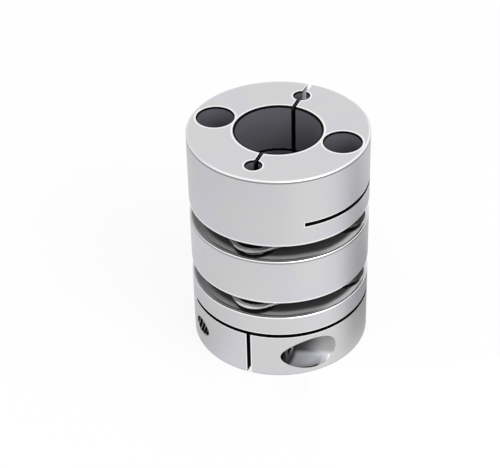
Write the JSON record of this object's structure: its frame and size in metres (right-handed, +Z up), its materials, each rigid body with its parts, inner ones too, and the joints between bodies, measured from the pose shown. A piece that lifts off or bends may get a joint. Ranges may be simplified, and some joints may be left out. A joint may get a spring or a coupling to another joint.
{
  "type": "disc coupling",
  "caption": "Flexible disc coupling for two shafts: split clamp hubs at both ends, a centre ring, and thin leaf packs screwed between them.",
  "frame": {"origin": "centre of the lower hub's end face, which the coupling stands on", "axes": "+Z up along the shaft axis from the lower hub to the upper hub; X through the two large access holes of each hub, with the clamp screws' heads towards +X; Y through the slits, with the lower hub's open slit at -Y and the upper hub's at +Y"},
  "size_m": [0.034, 0.034, 0.045],
  "materials": {
    "anodised_aluminium": "satin, bead blasted and clear anodised",
    "leaf_steel": "rolled stainless spring steel",
    "collar_steel": "turned stainless steel",
    "disc_screw_steel": "stainless steel, plain",
    "clamp_screw_steel": "stainless steel, plain"
  },
  "bodies": {
    "root": {"lower_back_collar": "collar_steel", "lower_back_screw": "disc_screw_steel", "lower_back_washer": "collar_steel", "lower_clamp_screw": "clamp_screw_steel", "lower_front_collar": "collar_steel", "lower_front_screw": "disc_screw_steel", "lower_front_washer": "collar_steel", "lower_hub": "anodised_aluminium", "lower_leaf_1": "leaf_steel", "lower_leaf_2": "leaf_steel", "lower_leaf_3": "leaf_steel", "lower_leaf_4": "leaf_steel", "lower_leaf_5": "leaf_steel", "lower_left_collar": "collar_steel", "lower_left_screw": "disc_screw_steel", "lower_left_washer": "collar_steel", "lower_right_collar": "collar_steel", "lower_right_screw": "disc_screw_steel", "lower_right_washer": "collar_steel", "spacer": "anodised_aluminium", "upper_back_collar": "collar_steel", "upper_back_screw": "disc_screw_steel", "upper_back_washer": "collar_steel", "upper_clamp_screw": "clamp_screw_steel", "upper_front_collar": "collar_steel", "upper_front_screw": "disc_screw_steel", "upper_front_washer": "collar_steel", "upper_hub": "anodised_aluminium", "upper_leaf_1": "leaf_steel", "upper_leaf_2": "leaf_steel", "upper_leaf_3": "leaf_steel", "upper_leaf_4": "leaf_steel", "upper_leaf_5": "leaf_steel", "upper_left_collar": "collar_steel", "upper_left_screw": "disc_screw_steel", "upper_left_washer": "collar_steel", "upper_right_collar": "collar_steel", "upper_right_screw": "disc_screw_steel", "upper_right_washer": "collar_steel"}
  },
  "joints": []
}
